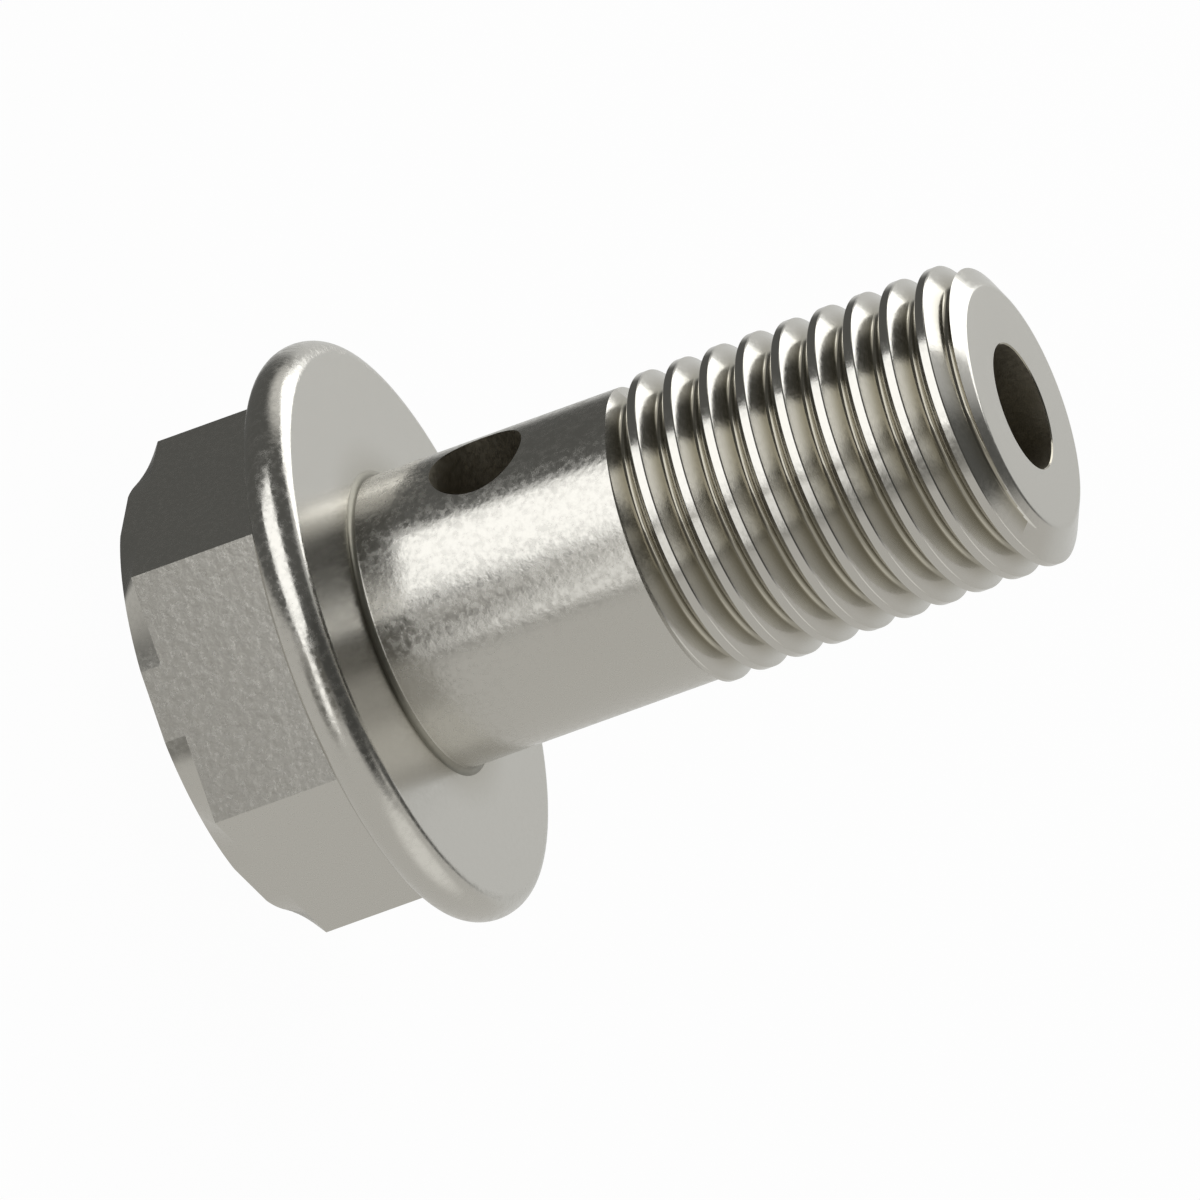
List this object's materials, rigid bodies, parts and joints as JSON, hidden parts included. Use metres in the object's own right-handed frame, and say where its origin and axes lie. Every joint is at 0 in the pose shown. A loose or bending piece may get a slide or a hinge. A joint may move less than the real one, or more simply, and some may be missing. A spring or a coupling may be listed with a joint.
{
  "type": "banjo bolt",
  "caption": "Flanged hexagon bolt with a threaded end, an oilway drilled up its axis from the tip and a hole drilled across its plain shank.",
  "frame": {"origin": "centre of the head's end face, on the bolt's axis", "axes": "+Z along the axis from the head to the threaded tip, +Y square to a flat of the hexagon and along the cross hole, +X through a corner of the hexagon"},
  "size_m": [0.019, 0.019, 0.0279],
  "materials": {
    "plated_steel": "satin nickel plating, faintly mottled, with a brighter polish on the shank and the flange's rim"
  },
  "bodies": {
    "root": {"banjo_bolt": "plated_steel"}
  },
  "joints": []
}
